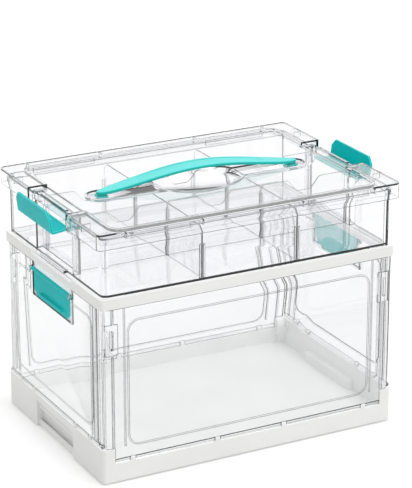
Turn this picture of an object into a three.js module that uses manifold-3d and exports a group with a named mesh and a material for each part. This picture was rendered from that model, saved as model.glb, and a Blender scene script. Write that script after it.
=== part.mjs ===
// Craft storage box in three tiers: a folding box with a white base and rim and four clear
// panels, a clear tray with dividers, and a clear lid with a strap handle.
// Millimetres, +Z up, X along the long side, Y away from the front. The origin lies under the
// middle of the box, on the surface that its feet stand on. The tiers are stacked, as in use.

import * as THREE from 'three';
import { mergeVertices } from 'three/addons/utils/BufferGeometryUtils.js';
import Module from 'manifold-3d';

const wasm = await Module();
wasm.setup();

// Driving sizes of the whole box
const boxLength = 360;
const boxDepth = 250;
const cornerRadius = 12; // of the folding panels' round columns
const frameCorner = 5; // of the base and the rim
const sheet = 2.2; // thickness of the clear moulded plates
const clearance = 0.3; // gap between pieces that touch or slide
const overrun = 1; // how far a cutter runs past what it cuts
const quarterSteps = 4; // facets in a quarter circle of a corner
const rodSides = 10; // facets round a thin rod
const guideSides = 6;
const reliefSides = 32; // facets round the swing of a folding panel's foot

// Base, white
const footDrop = 2; // the feet carry the base this far off the table
const endWallHeight = 38.6;
const frontWallHeight = 20.7;
const endWall = 4.3;
const longWall = 4.9;
const baseFloorTop = 8.6;
const baseFloor = 2.4;
const cornerBlockLength = 14.6;
const cornerBlockDepth = 12;
const undersideMargin = 8;
const floorPanelMargin = 26;
const floorPanelRadius = 18;
const floorPanelRise = 1;
const gripWidth = 96; // finger recess in each end of the base
const gripDepth = 8;
const gripMouth = 31;
const gripBack = 17.5;
const gripBlockTop = 20;
const gripBarInset = 2.6;
const gripBarThickness = 2.2;
const gripBarLow = 1;
const gripBarHigh = 6.5;

// Feet, dark grey
const footRadius = 5;
const footInsetX = 15;
const footInsetY = 10;
const footSides = 16;
const footSunk = 2.7; // how far a foot reaches into its socket
const footBossWall = 2.4;

// Hinges of the folding panels
const beadRadius = 2.45;
const hingePinRadius = 1.3;
const lugWidth = 5.4;
const longLugShares = [-0.8, -0.23, 0.23, 0.8];
const endLugShares = [-0.73, -0.44, 0.44, 0.73];

// Folding panels, clear
const panelTop = 197.6;
const columnWall = 1.5; // the round corner columns are thinner than the plates
const columnRibs = [13.5, 27]; // from the end of the box to each inner rib
const columnRibThickness = 1.5;
const frameWidth = 1.7; // raised bead that frames each window
const frameRise = 0.9;
const frameRadius = 14;
const longFrameMargin = 31;
const longFrameFoot = 17; // above the base's front wall
const frameHead = 15; // below the panels' top
const endFrameMargin = 25;
const endFrameFoot = 17.4; // above the base's end wall
const clipWidth = 15; // snap clip near the top of each column
const clipHeight = 35;
const clipHead = 17.6; // below the panels' top
const clipInset = 5.2;
const clipSlotWidth = 3;
const clipSlotMargin = 7;

// Box latches, teal, hanging in a pocket at the top of each end panel
const boxLatchWidth = 93;
const boxLatchBarrelOut = 2.5; // the barrel runs this far past the plate at each end
const boxLatchPivotOut = 0.2; // outside the end plane
const boxLatchPivotDrop = 8.4; // below the panels' top
const boxLatchLength = 29.4;
const boxLatchThickness = 2.2;
const boxLatchBack = 2.6; // from the pin's axis back to the plate's inner face
const boxLatchBarrel = 2.4;
const boxLatchPin = 1.4;
const boxLatchCorner = 7;
const hookWidth = 58;
const hookThickness = 2.4;
const hookRise = 3;
const pocketFootGap = 1.2;
const pocketBackGap = 0.5;
const pocketWall = 1.5;
const earWall = 2.8; // ears of the end panel that hold the latch's pin
const earReach = 2.6;

// Rim, white
const rimHeight = 11.8;
const rimLip = 4.4;
const rimLedge = 10;
const rimStep = 5; // the ledge lies this far below the lip
const rimLedgeThickness = 2.4;
const rimLedgeRadius = 8;
const rimNotchWidth = 106;
const rimNotchDepth = 4.5;

// Tray, clear
const trayHeight = 64.9;
const trayCorner = 4;
const trayInnerCorner = 8;
const trayFootHeight = 5;
const trayFootLength = 26; // how far the foot at an end turns along each long side
const trayWall = 2;
const trayFloor = 2.2;
const trayBandHeight = 6;
const trayBandOut = 1.2;
const trayRecessWidth = 94;
const trayRecessDepth = 8;
const catchWidth = 62;
const catchRoot = 2.3;
const catchTip = 3.5;
const catchLow = 1.1;
const catchHigh = 1.7;
const compartmentsAlong = 3;
const compartmentsAcross = 3;

// Dividers, clear
const longDividerWall = 1.8;
const longDividerDrop = 4.9; // its top lies this far below the tray's rim
const longDividerCorner = 6;
const shortDividerWall = 1.6;
const shortDividerDrop = 3;
const scoopWidth = 44;
const scoopDepth = 13.5;
const scoopFlatShare = 0.3;
const scoopSteps = 7;
const guideRadius = 1.2;
const guideTip = 1.6;
const wallGuideDrop = 25;
const dividerGuideDrop = 12;

// Tray latches, teal, drawn half open
const trayLatchWidth = 86;
const trayLatchPivotOut = 2.7; // outside the tray's end wall
const trayLatchPivotDrop = 12; // below the tray's rim
const trayLatchPlate = 24;
const trayLatchOpenDegrees = 7; // its lower plate hangs this far below level
const trayLatchThickness = 2.4;
const trayLatchCorner = 3.5;
const trayLatchEnd = 8;
const trayLatchBarrel = 2.3;
const trayLatchPin = 1.4;
const lugRadius = 3.2;
const lugRoot = 12;

// Lid, clear
const lidOverhang = 3.3; // outside the outline of the box
const lidHeight = 17.4;
const lidCorner = 6;
const lidLap = 9.1; // the skirt hangs this far below the tray's rim
const panMarginX = 23.3;
const panMarginY = 12.7;
const panDrop = 3.4;
const panRadius = 12;
const lidNotchWidth = 98;
const shelfDrop = 4.4;
const apronLow = 13.7; // below the lid's top
const apronSide = 2.4;
const lidBarWidth = 63;
const lidBarDepth = 4;
const lidBarRise = 1.4;
const lidRibWall = 1.6;
const lidRibLength = 11;
const lidEndRibShares = [-0.68, 0.68];
const lidLongRibShares = [-0.82, -0.33, 0.33, 0.82];
const locatorShares = [0.39, 0.8];
const locatorDrop = 3; // reaches below the tray's rim, just inside its long walls
const channelWidth = 29;
const channelEnd = 10; // room past each end of the strap
const channelDepth = 3;
const dishLength = 110;
const dishWidth = 78;
const dishDepth = 6.6;
const dishFloorShare = 0.72;
const dishSides = 32;
const slotWidth = 8;
const slotEnd = 3; // room past the stud at each end of its slot

// Handle, a teal strap on two sliding studs
const strapSpan = 248;
const strapTravel = 3; // how far each stud slides out as the strap flattens
const strapWidth = 26;
const strapEndWidth = 20;
const strapThickness = 3;
const strapRise = 24;
const strapSteps = 24;
const strapRoundingShare = 0.3;
const strapBowShare = 0.5;
const strapTipShare = 0.5;
const strapTaper = 6; // how late along the strap its ends close in
const strapSides = 8;
const studFlange = 12;
const studFlangeThickness = 1.2;
const studShankLength = 6;
const studShankWidth = 6.6;
const studHead = 13;
const studHeadThickness = 1.6;

// Places worked out from the sizes
const halfLength = boxLength / 2;
const halfDepth = boxDepth / 2;
const blockInner = halfLength - cornerBlockLength;
const backWallHeight = frontWallHeight + 2 * beadRadius + 2 * clearance;
const longAxisY = halfDepth - beadRadius;
const endAxisX = halfLength - beadRadius;
const endAxisZ = endWallHeight + clearance + beadRadius;
const columnRadius = cornerRadius - columnWall;
const diagonalShare = Math.SQRT1_2;
const seamHalfGap = clearance / 2;
const seam = columnRadius * diagonalShare - seamHalfGap;
const seamInner = Math.sqrt(columnRadius ** 2 - seam ** 2);
const longPanelHalf = endAxisX - beadRadius - clearance;
const longPanelInner = halfDepth - cornerRadius + seamInner;
const endPanelHalf = halfDepth - cornerRadius + seam;
const endPanelInner = halfLength - cornerRadius + seamInner;
const rimBottom = panelTop + clearance;
const rimTop = rimBottom + rimHeight;
const trayInset = rimLip + clearance;
const latchPivotX = halfLength + boxLatchPivotOut;
const latchPivotZ = panelTop - boxLatchPivotDrop;
const trayBottom = rimTop - rimStep + clearance + trayFootHeight;
const trayTop = trayBottom + trayHeight;
const hookAt = trayBottom + catchHigh + clearance - latchPivotZ; // from the pin to the hook's upper face
const trayHalfX = halfLength - trayInset;
const trayHalfY = halfDepth - trayInset;
const trayRecessX = trayHalfX - trayRecessDepth;
const trayPivotX = trayHalfX + trayLatchPivotOut;
const trayPivotZ = trayTop - trayLatchPivotDrop;
const lidTop = trayTop - lidLap + lidHeight;
const shelfTop = lidTop - shelfDrop;
const trayLatchArm = shelfTop + lidBarRise + clearance + trayLatchThickness - trayPivotZ;
const apronX = trayPivotX - trayLatchThickness / 2 - clearance;
const lidBarX = apronX + clearance - (trayLatchCorner - trayLatchThickness); // clear of the latch's bend
const lidHalfX = halfLength + lidOverhang;
const lidHalfY = halfDepth + lidOverhang;
const panX = lidHalfX - panMarginX;
const panY = lidHalfY - panMarginY;
const panTop = lidTop - panDrop;
const channelFloor = panTop - channelDepth;
const channelLength = strapSpan + 2 * channelEnd;
const slotLength = studShankLength + strapTravel + 2 * slotEnd;
const slotCentre = (strapSpan - studFlange + strapTravel) / 2;
const boxLatchBarrelHalf = boxLatchWidth / 2 + boxLatchBarrelOut;
const trayInnerX = trayHalfX - trayWall;
const trayInnerY = trayHalfY - trayWall;
const dividerFoot = trayBottom + trayFloor + clearance;
const longDividerX = trayInnerX / compartmentsAlong;
const shortDividerY = trayInnerY / compartmentsAcross;

const clear = new THREE.MeshStandardMaterial({
  color: 0xeaf0f2, roughness: 0.06, metalness: 0, transparent: true, opacity: 0.45,
});
const white = new THREE.MeshStandardMaterial({ color: 0xf2f2f0, roughness: 0.42, metalness: 0 });
const teal = new THREE.MeshStandardMaterial({ color: 0x2fc4bf, roughness: 0.35, metalness: 0 });
const grey = new THREE.MeshStandardMaterial({ color: 0x4a4c4e, roughness: 0.7, metalness: 0 });

const group = new THREE.Group();
group.position.z = footDrop;

// Turns a closed three.js geometry into a solid that can be joined and cut
function solid(geometry) {
  geometry.deleteAttribute('normal');
  geometry.deleteAttribute('uv');
  const merged = mergeVertices(geometry);
  return new wasm.Manifold(new wasm.Mesh({
    numProp: 3,
    vertProperties: Float32Array.from(merged.attributes.position.array),
    triVerts: Uint32Array.from(merged.index.array),
  }));
}

function join(...pieces) {
  return pieces.flat().reduce((sum, piece) => sum.add(piece));
}

function cut(whole, ...tools) {
  return tools.flat().reduce((rest, tool) => rest.subtract(tool), whole);
}

// Adds a named mesh of a solid to the box, turned about Z and moved to its place
function add(name, shape, material, place = [0, 0, 0], turn = 0) {
  const { vertProperties, triVerts } = shape.getMesh();
  const geometry = new THREE.BufferGeometry();
  geometry.setAttribute('position', new THREE.BufferAttribute(vertProperties, 3));
  geometry.setIndex(new THREE.BufferAttribute(triVerts, 1));
  geometry.computeVertexNormals();
  const mesh = new THREE.Mesh(geometry, material);
  mesh.name = name;
  mesh.position.set(...place);
  mesh.rotation.z = turn;
  group.add(mesh);
}

function block([x0, x1], [y0, y1], [z0, z1]) {
  const geometry = new THREE.BoxGeometry(x1 - x0, y1 - y0, z1 - z0);
  return solid(geometry.translate((x0 + x1) / 2, (y0 + y1) / 2, (z0 + z1) / 2));
}

// A block that is the same on both sides of the middle in Y
function across(xs, halfWidth, zs) {
  return block(xs, [-halfWidth, halfWidth], zs);
}

function roundedRectangle(length, width, radius) {
  const shape = new THREE.Shape();
  const x = length / 2 - radius;
  const y = width / 2 - radius;
  shape.absarc(x, y, radius, 0, Math.PI / 2);
  shape.absarc(-x, y, radius, Math.PI / 2, Math.PI);
  shape.absarc(-x, -y, radius, Math.PI, 3 * Math.PI / 2);
  shape.absarc(x, -y, radius, 3 * Math.PI / 2, 2 * Math.PI);
  return shape;
}

function extrude(shape, depth) {
  return new THREE.ExtrudeGeometry(shape, { depth, bevelEnabled: false, curveSegments: quarterSteps });
}

// Outline in plan, extruded upwards
function prism(shape, [z0, z1]) {
  return solid(extrude(shape, z1 - z0).translate(0, 0, z0));
}

// Outline in X and Z, extruded along Y
function prismY(shape, [y0, y1]) {
  return solid(extrude(shape, y1 - y0).rotateX(Math.PI / 2).translate(0, y1, 0));
}

// Outline in Y and Z, extruded along X
function prismX(shape, [x0, x1]) {
  return solid(extrude(shape, x1 - x0).rotateX(Math.PI / 2).rotateZ(Math.PI / 2).translate(x0, 0, 0));
}

function polygon(points) {
  return new THREE.Shape(points.map(([a, b]) => new THREE.Vector2(a, b)));
}

// Round rods along X, Y and Z
function rodX(radius, [x0, x1], y, z, sides = rodSides) {
  const geometry = new THREE.CylinderGeometry(radius, radius, x1 - x0, sides);
  return solid(geometry.rotateZ(Math.PI / 2).translate((x0 + x1) / 2, y, z));
}

function rodY(radius, [y0, y1], x, z, sides = rodSides) {
  const geometry = new THREE.CylinderGeometry(radius, radius, y1 - y0, sides);
  return solid(geometry.translate(x, (y0 + y1) / 2, z));
}

function rodZ(radius, [z0, z1], x, y, sides = rodSides) {
  const geometry = new THREE.CylinderGeometry(radius, radius, z1 - z0, sides);
  return solid(geometry.rotateX(Math.PI / 2).translate(x, y, (z0 + z1) / 2));
}

const ends = [-1, 1];
const corners = [[-1, -1], [1, -1], [1, 1], [-1, 1]];

function range(side, near, far) {
  return side > 0 ? [near, far] : [-far, -near];
}

// Hinge lug that stands on a wall of the base, round at the top, with a hole for the pin
function lugAlongX(place, wallTop, side) {
  const y = side * longAxisY;
  const axisZ = wallTop + clearance + beadRadius;
  const span = [place - lugWidth / 2, place + lugWidth / 2];
  const post = block(span, [y - beadRadius, y + beadRadius], [wallTop - overrun, axisZ]);
  return join(post, rodX(beadRadius, span, y, axisZ));
}

function lugAlongY(place, side) {
  const x = side * endAxisX;
  const span = [place - lugWidth / 2, place + lugWidth / 2];
  const width = Math.min(beadRadius, endWall - beadRadius);
  const post = block([x - width, x + width], span, [endWallHeight - overrun, endAxisZ]);
  return join(post, rodY(beadRadius, span, x, endAxisZ));
}

function base() {
  const outline = roundedRectangle(boxLength, boxDepth, frameCorner);
  const above = [baseFloorTop, endWallHeight + overrun];
  const innerX = halfLength - endWall;
  const innerY = halfDepth - longWall;
  const blockY = halfDepth - cornerBlockDepth;
  const blocks = corners.map(([sx, sy]) => block(
    range(sx, blockInner, halfLength), range(sy, blockY, halfDepth), above));
  const well = cut(across([-innerX, innerX], innerY, above), blocks);
  const longSides = [[-1, frontWallHeight], [1, backWallHeight]];
  const low = longSides.map(([side, wallTop]) => block(
    [-blockInner, blockInner], range(side, innerY - overrun, halfDepth + overrun),
    [wallTop, endWallHeight + overrun]));
  const floorBottom = baseFloorTop - baseFloor;
  const footPlaces = corners.map(([sx, sy]) => [
    sx * (halfLength - footInsetX), sy * (halfDepth - footInsetY)]);
  const bosses = footPlaces.map(([x, y]) => rodZ(
    footRadius + clearance + footBossWall, [0, baseFloorTop], x, y, footSides));
  const sockets = footPlaces.map(([x, y]) => rodZ(
    footRadius + clearance, [-overrun, footSunk + clearance], x, y, footSides));
  const undersideX = halfLength - undersideMargin - gripDepth;
  const underside = cut(
    across([-undersideX, undersideX], halfDepth - undersideMargin, [-overrun, floorBottom]), bosses);
  const panel = prism(roundedRectangle(
    boxLength - 2 * floorPanelMargin, boxDepth - 2 * floorPanelMargin, floorPanelRadius,
  ), [floorBottom, baseFloorTop + floorPanelRise]);
  const gripX = halfLength - gripDepth;
  const grips = ends.map((side) => across(
    range(side, gripX - sheet, halfLength - endWall + overrun), gripWidth / 2 + sheet, [0, gripBlockTop]));
  const recesses = ends.map((side) => prismY(polygon([
    [side * (halfLength + overrun), -overrun], [side * (halfLength + overrun), gripMouth],
    [side * halfLength, gripMouth], [side * gripX, gripBack], [side * gripX, -overrun],
  ]), [-gripWidth / 2, gripWidth / 2]));
  const bars = ends.map((side) => across(
    range(side, halfLength - gripBarInset - gripBarThickness, halfLength - gripBarInset),
    gripWidth / 2 + overrun, [gripBarLow, gripBarHigh]));
  const lugs = [
    ...longLugShares.map((share) => lugAlongX(share * halfLength, frontWallHeight, -1)),
    ...longLugShares.map((share) => lugAlongX(share * halfLength, backWallHeight, 1)),
    ...ends.map((side) => endLugShares.map((share) => lugAlongY(share * halfDepth, side))).flat(),
  ];
  // Room in the corner blocks for the foot of a long panel as it folds in
  const reliefs = longSides.map(([side, wallTop]) => {
    const axisZ = wallTop + clearance + beadRadius;
    const radius = endWallHeight - axisZ;
    const swing = rodX(radius, [-halfLength, halfLength], side * longAxisY, axisZ, reliefSides);
    return ends.map((end) => cut(block(
      range(end, blockInner - overrun, longPanelHalf + clearance),
      range(side, blockY - overrun, longAxisY), [axisZ, endWallHeight + overrun]), swing));
  }).flat();
  const holeRadius = hingePinRadius + clearance;
  const reachX = blockInner + lugWidth;
  const holes = [
    ...longSides.map(([side, wallTop]) => rodX(
      holeRadius, [-reachX, reachX], side * longAxisY, wallTop + clearance + beadRadius)),
    ...ends.map((side) => rodY(holeRadius, [-halfDepth, halfDepth], side * endAxisX, endAxisZ)),
  ];
  const shell = join(cut(prism(outline, [0, endWallHeight]), well, low, underside, reliefs), grips);
  add('base', cut(join(cut(shell, recesses), bars, panel, lugs), sockets, holes), white);
  corners.forEach(([sx, sy], i) => {
    const name = `${sy < 0 ? 'front' : 'back'}_${sx < 0 ? 'left' : 'right'}_foot`;
    const foot = rodZ(footRadius, [-footDrop, footSunk], 0, 0, footSides);
    add(name, foot, grey, [...footPlaces[i], 0]);
  });
}

// Bead in the shape of a rounded frame, drawn in the plane of a panel
function frameBead(prismAcross, width, [z0, z1], [inner, outer]) {
  const height = z1 - z0;
  const ring = prismAcross(roundedRectangle(width, height, frameRadius), [inner, outer]);
  const hole = prismAcross(roundedRectangle(
    width - 2 * frameWidth, height - 2 * frameWidth, frameRadius - frameWidth,
  ), [inner - overrun, outer + overrun]);
  return cut(ring, hole).translate([0, 0, (z0 + z1) / 2]);
}

// Wall of the box between two heights, as thin as the corner columns
function columnRing(zs) {
  const outer = prism(roundedRectangle(boxLength, boxDepth, cornerRadius), zs);
  const inner = prism(roundedRectangle(
    boxLength - 2 * columnWall, boxDepth - 2 * columnWall, columnRadius,
  ), [zs[0] - overrun, zs[1] + overrun]);
  return cut(outer, inner);
}

// Front or back panel, drawn at the front. Its lower edge is a bead that turns on the base's lugs.
function longPanel(wallTop) {
  const axisZ = wallTop + clearance + beadRadius;
  const ledge = endWallHeight + clearance;
  const lowHalf = blockInner - clearance;
  const plateY = [-halfDepth, -halfDepth + sheet];
  const straight = halfLength - cornerRadius;
  const ribY = [-halfDepth + columnWall, -longPanelInner];
  const columns = columnRing([ledge, panelTop]).intersect(block(
    [-longPanelHalf, longPanelHalf], [-halfDepth - overrun, -longPanelInner], [ledge, panelTop]));
  const plate = join(
    block([-straight, straight], plateY, [ledge, panelTop]),
    block([-lowHalf, lowHalf], plateY, [axisZ, ledge + overrun]));
  const ribs = columnRibs.map((inset) => ends.map((side) => block(
    range(side, halfLength - inset - columnRibThickness, halfLength - inset), ribY, [ledge, panelTop])));
  const clipX = [halfLength - clipInset - clipWidth, halfLength - clipInset];
  const clipY = [-halfDepth + columnWall, -longPanelInner];
  const clipZ = [panelTop - clipHead - clipHeight, panelTop - clipHead];
  const clips = ends.map((side) => block(
    range(side, clipX[0], longPanelHalf), clipY, clipZ));
  const middle = (clipX[0] + clipX[1]) / 2;
  const slots = ends.map((side) => block(
    range(side, middle - clipSlotWidth / 2, middle + clipSlotWidth / 2),
    [-halfDepth - overrun, -longPanelInner + overrun],
    [clipZ[0] + clipSlotMargin, clipZ[1] - clipSlotMargin]));
  const frame = frameBead(prismY, boxLength - 2 * longFrameMargin, [
    frontWallHeight + longFrameFoot, panelTop - frameHead],
    [-halfDepth + sheet / 2, -halfDepth + sheet + frameRise]);
  const bead = rodX(beadRadius, [-lowHalf, lowHalf], -longAxisY, axisZ);
  const gaps = longLugShares.map((share) => share * halfLength).map((x) => block(
    [x - lugWidth / 2 - clearance, x + lugWidth / 2 + clearance],
    [-halfDepth - overrun, -longPanelInner + overrun],
    [wallTop, axisZ + beadRadius + clearance]));
  const pinReach = blockInner + lugWidth - clearance;
  const pin = rodX(hingePinRadius, [-pinReach, pinReach], -longAxisY, axisZ);
  return join(cut(join(plate, columns, ribs.flat(), clips, frame, bead), gaps, slots), pin);
}

// End panel, drawn at the right end, with the pocket and ears of its latch
function endPanel() {
  const plateX = [halfLength - sheet, halfLength];
  const straight = halfDepth - cornerRadius;
  const ribX = [endPanelInner, halfLength - columnWall];
  const zs = [endAxisZ, panelTop];
  const columns = columnRing(zs).intersect(across([endPanelInner, halfLength + overrun], endPanelHalf, zs));
  const plate = across(plateX, straight, zs);
  const ribs = columnRibs.map((inset) => ends.map((side) => block(
    ribX, range(side, halfDepth - inset - columnRibThickness, halfDepth - inset), zs)));
  const frame = frameBead(prismX, boxDepth - 2 * endFrameMargin, [
    endWallHeight + endFrameFoot, panelTop - frameHead],
    [plateX[0] - frameRise, plateX[0] + sheet / 2]);
  const pocketHalf = boxLatchBarrelHalf + 2 * clearance;
  const backFace = latchPivotX - boxLatchBack - pocketBackGap;
  const pocketBottom = latchPivotZ - boxLatchLength - pocketFootGap;
  const pocketOpen = [pocketBottom, panelTop + overrun];
  const tub = across([endPanelInner, halfLength], pocketHalf + pocketWall, [
    pocketBottom - pocketWall, panelTop]);
  const pocket = across([backFace, halfLength + overrun], pocketHalf, pocketOpen);
  const ears = ends.map((side) => block(
    [backFace - pocketWall / 2, latchPivotX + earReach], range(side, pocketHalf, pocketHalf + earWall),
    [latchPivotZ - earReach, latchPivotZ + earReach]));
  const holeHalf = pocketHalf + earWall + overrun;
  const hole = rodY(boxLatchPin + clearance, [-holeHalf, holeHalf], latchPivotX, latchPivotZ);
  const bead = rodY(beadRadius, [-endPanelHalf, endPanelHalf], endAxisX, endAxisZ);
  const gaps = endLugShares.map((share) => share * halfDepth).map((y) => block(
    [endPanelInner - overrun, halfLength + overrun],
    [y - lugWidth / 2 - clearance, y + lugWidth / 2 + clearance],
    [endWallHeight, endAxisZ + beadRadius + clearance]));
  const pin = rodY(hingePinRadius, [-endPanelHalf, endPanelHalf], endAxisX, endAxisZ);
  const walls = join(cut(join(plate, columns, ribs.flat(), frame, bead), gaps), tub);
  return join(cut(join(cut(walls, pocket), ears), hole), pin);
}

// Latch that hooks over the tray, drawn hanging, with its pin's axis through the origin
function boxLatch() {
  const face = boxLatchThickness - boxLatchBack;
  const outline = new THREE.Shape();
  const half = boxLatchWidth / 2;
  outline.moveTo(half, 0);
  outline.lineTo(half, -boxLatchLength + boxLatchCorner);
  outline.lineTo(half - boxLatchCorner, -boxLatchLength);
  outline.lineTo(-half + boxLatchCorner, -boxLatchLength);
  outline.lineTo(-half, -boxLatchLength + boxLatchCorner);
  outline.lineTo(-half, 0);
  const plate = prismX(outline, [-boxLatchBack, face]);
  const barrel = rodY(boxLatchBarrel, [-boxLatchBarrelHalf, boxLatchBarrelHalf], 0, 0);
  const hook = across([-boxLatchBack, face + hookRise], hookWidth / 2, [-hookAt - hookThickness, -hookAt]);
  const pinReach = boxLatchBarrelHalf + 2 * clearance + earWall - clearance;
  return join(plate, barrel, hook, rodY(boxLatchPin, [-pinReach, pinReach], 0, 0));
}

function rim() {
  const outline = (inset, radius) => roundedRectangle(boxLength - 2 * inset, boxDepth - 2 * inset, radius);
  const skirt = cut(
    prism(outline(0, frameCorner), [rimBottom, rimTop]),
    prism(outline(rimLip, trayCorner + clearance), [rimBottom - overrun, rimTop + overrun]));
  const ledgeTop = rimTop - rimStep;
  const ledge = cut(
    prism(outline(rimLip / 2, frameCorner - rimLip / 2), [ledgeTop - rimLedgeThickness, ledgeTop]),
    prism(outline(rimLedge, rimLedgeRadius), [rimBottom, rimTop]));
  const turnDown = cut(
    prism(outline(rimLedge - rimLedgeThickness, rimLedgeRadius + rimLedgeThickness), [rimBottom, ledgeTop]),
    prism(outline(rimLedge, rimLedgeRadius), [rimBottom - overrun, rimTop]));
  const notches = ends.map((side) => across(
    range(side, halfLength - rimLip - overrun, halfLength + overrun), rimNotchWidth / 2,
    [rimTop - rimNotchDepth, rimTop + overrun]));
  add('rim', cut(join(skirt, ledge, turnDown), notches), white);
}

// Vertical guide beads, pointed on top, on both sides of a slot for a divider
function guides(place, zs, wallAlongX, wall) {
  const offset = wall / 2 + clearance + guideRadius;
  return ends.map((side) => {
    const [x, y] = wallAlongX ? [place[0] + side * offset, place[1]] : [place[0], place[1] + side * offset];
    const tip = new THREE.ConeGeometry(guideRadius, guideTip, guideSides).rotateX(Math.PI / 2);
    return join(
      rodZ(guideRadius, zs, x, y, guideSides), solid(tip.translate(x, y, zs[1] + guideTip / 2)));
  });
}

function tray() {
  const outline = roundedRectangle(2 * trayHalfX, 2 * trayHalfY, trayCorner);
  const inner = roundedRectangle(2 * trayInnerX, 2 * trayInnerY, trayInnerCorner);
  const recess = (grow, zs) => ends.map((side) => across(
    range(side, trayRecessX - grow, halfLength), trayRecessWidth / 2 + grow, zs));
  const tall = [trayBottom - trayFootHeight - overrun, trayTop + overrun];
  const inside = cut(prism(inner, [trayBottom + trayFloor, tall[1]]), recess(trayWall, tall));
  const body = prism(outline, [trayBottom, trayTop]);
  const band = prism(roundedRectangle(
    2 * (trayHalfX + trayBandOut), 2 * (trayHalfY + trayBandOut), trayCorner + trayBandOut,
  ), [trayTop - trayBandHeight, trayTop]);
  const shell = cut(join(body, band), inside, recess(0, [trayBottom + trayFloor, tall[1]]));
  const feet = cut(
    prism(outline, [trayBottom - trayFootHeight, trayBottom]),
    prism(inner, [tall[0], trayBottom + trayFloor / 2]),
    across([-trayHalfX + trayFootLength, trayHalfX - trayFootLength], halfDepth, tall));
  const catches = ends.map((side) => across(
    range(side, trayHalfX - catchRoot, trayHalfX + catchTip), catchWidth / 2,
    [trayBottom - catchLow, trayBottom + catchHigh]));
  const lugs = ends.map((side) => ends.map((end) => {
    const inner = trayLatchWidth / 2 + clearance;
    const ys = range(end, inner, trayRecessWidth / 2 + trayWall / 2);
    const plate = prismY(polygon([
      [side * (trayRecessX - trayWall / 2), trayPivotZ + lugRadius],
      [side * (trayRecessX - trayWall / 2), trayPivotZ - lugRoot],
      [side * (trayPivotX + lugRadius / 2), trayPivotZ - lugRadius * diagonalShare],
      [side * trayPivotX, trayPivotZ + lugRadius],
    ]), ys);
    return join(plate, rodY(lugRadius, ys, side * trayPivotX, trayPivotZ));
  })).flat();
  const holes = ends.map((side) => rodY(
    trayLatchPin + clearance, [-trayRecessWidth / 2, trayRecessWidth / 2], side * trayPivotX, trayPivotZ));
  const guideZ = [trayBottom + trayFloor / 2, trayTop - wallGuideDrop];
  const wallGuides = ends.map((sx) => ends.map((sy) => [
    ...guides([sx * longDividerX, sy * trayInnerY], guideZ, true, longDividerWall),
    ...guides([sx * (trayRecessX - trayWall), sy * shortDividerY], guideZ, false, shortDividerWall),
  ])).flat(2);
  add('tray', join(cut(join(shell, feet, catches, lugs), holes), wallGuides), clear);
}

// Latch that closes over the lid, drawn half open at the right end, with its pin's axis at the origin
function trayLatch() {
  const half = trayLatchThickness / 2;
  const profile = new THREE.Shape();
  const arm = trayLatchArm;
  const corner = trayLatchCorner;
  profile.moveTo(0, half);
  profile.lineTo(0, -half);
  profile.lineTo(arm - corner, -half);
  profile.absarc(arm - corner, corner - half, corner, -Math.PI / 2, 0);
  profile.lineTo(arm, trayLatchPlate);
  profile.lineTo(arm - trayLatchThickness, trayLatchPlate);
  profile.lineTo(arm - trayLatchThickness, corner - half);
  profile.absarc(arm - corner, corner - half, corner - trayLatchThickness, 0, -Math.PI / 2, true);
  const width = trayLatchWidth / 2;
  const bend = prismY(profile, [-width, width]);
  const wings = ends.map((side) => prismX(polygon([
    [side * (width + overrun), trayLatchPlate - trayLatchEnd],
    [side * (width + overrun), trayLatchPlate + overrun],
    [side * (width - trayLatchEnd), trayLatchPlate + overrun],
    [side * width, trayLatchPlate - trayLatchEnd],
  ]), [arm - 2 * trayLatchThickness, arm + overrun]));
  const barrel = rodY(trayLatchBarrel, [-width, width], 0, 0);
  const pinReach = trayRecessWidth / 2 - clearance;
  const pin = rodY(trayLatchPin, [-pinReach, pinReach], 0, 0);
  return join(cut(bend, wings), barrel, pin).rotate([0, trayLatchOpenDegrees, 0]);
}

function longDivider() {
  const half = trayInnerY - clearance;
  const top = trayTop - longDividerDrop;
  const outline = polygon([
    [-half, dividerFoot], [half, dividerFoot],
    [half, top - longDividerCorner], [half - longDividerCorner, top],
    [-half + longDividerCorner, top], [-half, top - longDividerCorner],
  ]);
  const plate = prismX(outline, [-longDividerWall / 2, longDividerWall / 2]);
  const zs = [dividerFoot, trayTop - dividerGuideDrop];
  const beads = ends.map((sx) => ends.map((sy) => guides(
    [sx * longDividerWall / 2, sy * shortDividerY], zs, false, shortDividerWall))).flat(2);
  return join(plate, beads);
}

// Short divider with a smooth scoop in its top edge
function shortDivider(length) {
  const top = trayTop - shortDividerDrop;
  const half = length / 2;
  const points = [[-half, dividerFoot], [half, dividerFoot], [half, top]];
  const flat = scoopFlatShare * scoopWidth / 2;
  for (const side of [1, -1]) {
    for (let i = 0; i <= scoopSteps; i += 1) {
      const step = side > 0 ? i : scoopSteps - i;
      const share = step / scoopSteps;
      const x = scoopWidth / 2 - (scoopWidth / 2 - flat) * share;
      points.push([side * x, top - scoopDepth * (1 - Math.cos(Math.PI * share)) / 2]);
    }
  }
  points.push([-half, top]);
  return prismY(polygon(points), [-shortDividerWall / 2, shortDividerWall / 2]);
}

function dividers() {
  ends.forEach((side) => {
    add(`${side < 0 ? 'left' : 'right'}_long_divider`, longDivider(), clear, [side * longDividerX, 0, 0]);
  });
  const nearLong = longDividerX - longDividerWall / 2 - clearance;
  const farLong = longDividerX + longDividerWall / 2 + clearance;
  const farEnd = trayRecessX - trayWall - clearance;
  const columns = [
    ['left', -(farLong + farEnd) / 2, farEnd - farLong],
    ['middle', 0, 2 * nearLong],
    ['right', (farLong + farEnd) / 2, farEnd - farLong],
  ];
  for (const [word, x, length] of columns) {
    ends.forEach((side) => {
      const name = `${word}_${side < 0 ? 'front' : 'back'}_divider`;
      add(name, shortDivider(length), clear, [x, side * shortDividerY, 0]);
    });
  }
}

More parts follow.
